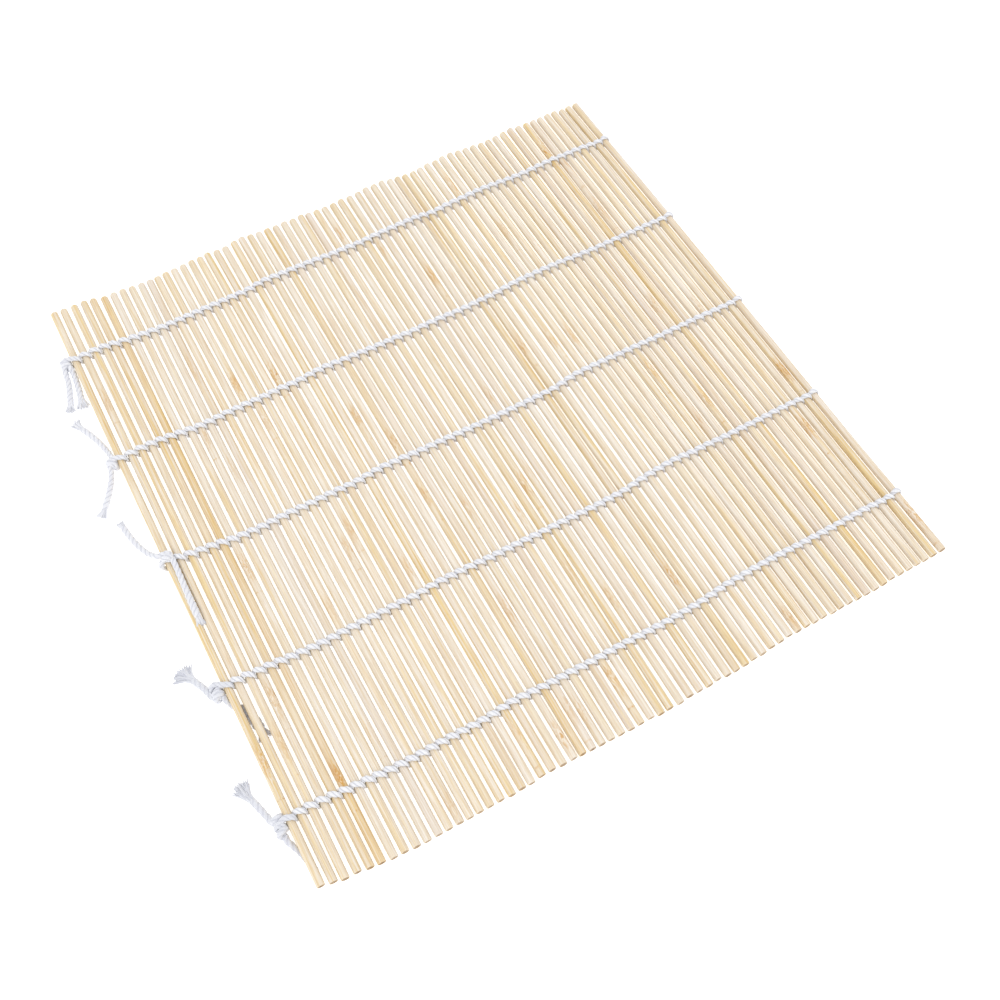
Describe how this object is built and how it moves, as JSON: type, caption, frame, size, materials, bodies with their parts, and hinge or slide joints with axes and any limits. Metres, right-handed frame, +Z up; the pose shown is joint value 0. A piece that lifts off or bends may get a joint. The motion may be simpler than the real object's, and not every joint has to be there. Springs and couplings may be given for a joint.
{
  "type": "sushi rolling mat",
  "caption": "Square rolling mat of round bamboo sticks laced side by side with rows of twined cotton cord, knotted and frayed along one edge; it rolls up across the sticks.",
  "frame": {"origin": "middle of the laced mat, on the surface that it lies on", "axes": "+X across the sticks from the knotted edge to the folded edge, +Y along the sticks, +Z up"},
  "size_m": [0.2405, 0.243, 0.0057],
  "materials": {
    "bamboo": "bare split bamboo, smooth and dry, pale cream to straw",
    "cotton_cord": "undyed white plied cotton twine"
  },
  "bodies": {
    "knotted_edge": {"sticks_01": "bamboo", "lacing_01": "cotton_cord", "knot_row_1": "cotton_cord", "knot_row_2": "cotton_cord", "knot_row_3": "cotton_cord", "knot_row_4": "cotton_cord", "knot_row_5": "cotton_cord", "tail_row_1_inner": "cotton_cord", "tail_row_1_outer": "cotton_cord", "tail_row_2_lower": "cotton_cord", "tail_row_2_upper": "cotton_cord", "tail_row_3_lower": "cotton_cord", "tail_row_3_upper": "cotton_cord", "tail_row_4_lower": "cotton_cord", "tail_row_4_upper": "cotton_cord", "tail_row_5_lower": "cotton_cord", "tail_row_5_upper": "cotton_cord"},
    "group_02": {"sticks_02": "bamboo", "lacing_02": "cotton_cord"},
    "group_03": {"sticks_03": "bamboo", "lacing_03": "cotton_cord"},
    "group_04": {"sticks_04": "bamboo", "lacing_04": "cotton_cord"},
    "group_05": {"sticks_05": "bamboo", "lacing_05": "cotton_cord"},
    "group_06": {"sticks_06": "bamboo", "lacing_06": "cotton_cord"},
    "group_07": {"sticks_07": "bamboo", "lacing_07": "cotton_cord"},
    "group_08": {"sticks_08": "bamboo", "lacing_08": "cotton_cord"},
    "group_09": {"sticks_09": "bamboo", "lacing_09": "cotton_cord"},
    "group_10": {"sticks_10": "bamboo", "lacing_10": "cotton_cord"},
    "group_11": {"sticks_11": "bamboo", "lacing_11": "cotton_cord"},
    "group_12": {"sticks_12": "bamboo", "lacing_12": "cotton_cord"},
    "group_13": {"sticks_13": "bamboo", "lacing_13": "cotton_cord"},
    "group_14": {"sticks_14": "bamboo", "lacing_14": "cotton_cord"},
    "group_15": {"sticks_15": "bamboo", "lacing_15": "cotton_cord"},
    "group_16": {"sticks_16": "bamboo", "lacing_16": "cotton_cord"},
    "group_17": {"sticks_17": "bamboo", "lacing_17": "cotton_cord"},
    "group_18": {"sticks_18": "bamboo", "lacing_18": "cotton_cord"},
    "group_19": {"sticks_19": "bamboo", "lacing_19": "cotton_cord"},
    "group_20": {"sticks_20": "bamboo", "lacing_20": "cotton_cord"},
    "group_21": {"sticks_21": "bamboo", "lacing_21": "cotton_cord"},
    "group_22": {"sticks_22": "bamboo", "lacing_22": "cotton_cord"}
  },
  "joints": [
    {"name": "roll_01", "type": "hinge", "parent": "group_02", "child": "knotted_edge", "pos_m": [-0.10325, 0, 0.00225], "axis": [0, 1, 0], "range_deg": [0, 20.78]},
    {"name": "roll_02", "type": "hinge", "parent": "group_03", "child": "group_02", "pos_m": [-0.09275, 0, 0.00225], "axis": [0, 1, 0], "range_deg": [0, 21.16]},
    {"name": "roll_03", "type": "hinge", "parent": "group_04", "child": "group_03", "pos_m": [-0.08225, 0, 0.00225], "axis": [0, 1, 0], "range_deg": [0, 21.57]},
    {"name": "roll_04", "type": "hinge", "parent": "group_05", "child": "group_04", "pos_m": [-0.07175, 0, 0.00225], "axis": [0, 1, 0], "range_deg": [0, 22]},
    {"name": "roll_05", "type": "hinge", "parent": "group_06", "child": "group_05", "pos_m": [-0.06125, 0, 0.00225], "axis": [0, 1, 0], "range_deg": [0, 22.46]},
    {"name": "roll_06", "type": "hinge", "parent": "group_07", "child": "group_06", "pos_m": [-0.05075, 0, 0.00225], "axis": [0, 1, 0], "range_deg": [0, 22.95]},
    {"name": "roll_07", "type": "hinge", "parent": "group_08", "child": "group_07", "pos_m": [-0.04025, 0, 0.00225], "axis": [0, 1, 0], "range_deg": [0, 23.47]},
    {"name": "roll_08", "type": "hinge", "parent": "group_09", "child": "group_08", "pos_m": [-0.02975, 0, 0.00225], "axis": [0, 1, 0], "range_deg": [0, 24.02]},
    {"name": "roll_09", "type": "hinge", "parent": "group_10", "child": "group_09", "pos_m": [-0.01925, 0, 0.00225], "axis": [0, 1, 0], "range_deg": [0, 24.62]},
    {"name": "roll_10", "type": "hinge", "parent": "group_11", "child": "group_10", "pos_m": [-0.00875, 0, 0.00225], "axis": [0, 1, 0], "range_deg": [0, 25.27]},
    {"name": "roll_11", "type": "hinge", "parent": "group_11", "child": "group_12", "pos_m": [0.00175, 0, 0.00225], "axis": [0, -1, 0], "range_deg": [0, 25.95]},
    {"name": "roll_12", "type": "hinge", "parent": "group_12", "child": "group_13", "pos_m": [0.01225, 0, 0.00225], "axis": [0, -1, 0], "range_deg": [0, 26.74]},
    {"name": "roll_13", "type": "hinge", "parent": "group_13", "child": "group_14", "pos_m": [0.02275, 0, 0.00225], "axis": [0, -1, 0], "range_deg": [0, 27.58]},
    {"name": "roll_14", "type": "hinge", "parent": "group_14", "child": "group_15", "pos_m": [0.03325, 0, 0.00225], "axis": [0, -1, 0], "range_deg": [0, 28.5]},
    {"name": "roll_15", "type": "hinge", "parent": "group_15", "child": "group_16", "pos_m": [0.04375, 0, 0.00225], "axis": [0, -1, 0], "range_deg": [0, 29.52]},
    {"name": "roll_16", "type": "hinge", "parent": "group_16", "child": "group_17", "pos_m": [0.05425, 0, 0.00225], "axis": [0, -1, 0], "range_deg": [0, 30.66]},
    {"name": "roll_17", "type": "hinge", "parent": "group_17", "child": "group_18", "pos_m": [0.06475, 0, 0.00225], "axis": [0, -1, 0], "range_deg": [0, 31.94]},
    {"name": "roll_18", "type": "hinge", "parent": "group_18", "child": "group_19", "pos_m": [0.07525, 0, 0.00225], "axis": [0, -1, 0], "range_deg": [0, 33.41]},
    {"name": "roll_19", "type": "hinge", "parent": "group_19", "child": "group_20", "pos_m": [0.08575, 0, 0.00225], "axis": [0, -1, 0], "range_deg": [0, 35.09]},
    {"name": "roll_20", "type": "hinge", "parent": "group_20", "child": "group_21", "pos_m": [0.09625, 0, 0.00225], "axis": [0, -1, 0], "range_deg": [0, 37.07]},
    {"name": "roll_21", "type": "hinge", "parent": "group_21", "child": "group_22", "pos_m": [0.10675, 0, 0.00225], "axis": [0, -1, 0], "range_deg": [0, 32.45]}
  ],
  "couplings": [
    {"joint": "roll_01", "follows": "roll_11", "ratio": 0.7999},
    {"joint": "roll_02", "follows": "roll_11", "ratio": 0.81469},
    {"joint": "roll_03", "follows": "roll_11", "ratio": 0.83033},
    {"joint": "roll_04", "follows": "roll_11", "ratio": 0.84692},
    {"joint": "roll_05", "follows": "roll_11", "ratio": 0.86454},
    {"joint": "roll_06", "follows": "roll_11", "ratio": 0.88332},
    {"joint": "roll_07", "follows": "roll_11", "ratio": 0.90338},
    {"joint": "roll_08", "follows": "roll_11", "ratio": 0.92488},
    {"joint": "roll_09", "follows": "roll_11", "ratio": 0.948},
    {"joint": "roll_10", "follows": "roll_11", "ratio": 0.97295},
    {"joint": "roll_12", "follows": "roll_11", "ratio": 1.0294},
    {"joint": "roll_13", "follows": "roll_11", "ratio": 1.0617},
    {"joint": "roll_14", "follows": "roll_11", "ratio": 1.0972},
    {"joint": "roll_15", "follows": "roll_11", "ratio": 1.1365},
    {"joint": "roll_16", "follows": "roll_11", "ratio": 1.1804},
    {"joint": "roll_17", "follows": "roll_11", "ratio": 1.2299},
    {"joint": "roll_18", "follows": "roll_11", "ratio": 1.2862},
    {"joint": "roll_19", "follows": "roll_11", "ratio": 1.3512},
    {"joint": "roll_20", "follows": "roll_11", "ratio": 1.4273},
    {"joint": "roll_21", "follows": "roll_11", "ratio": 1.2493}
  ]
}
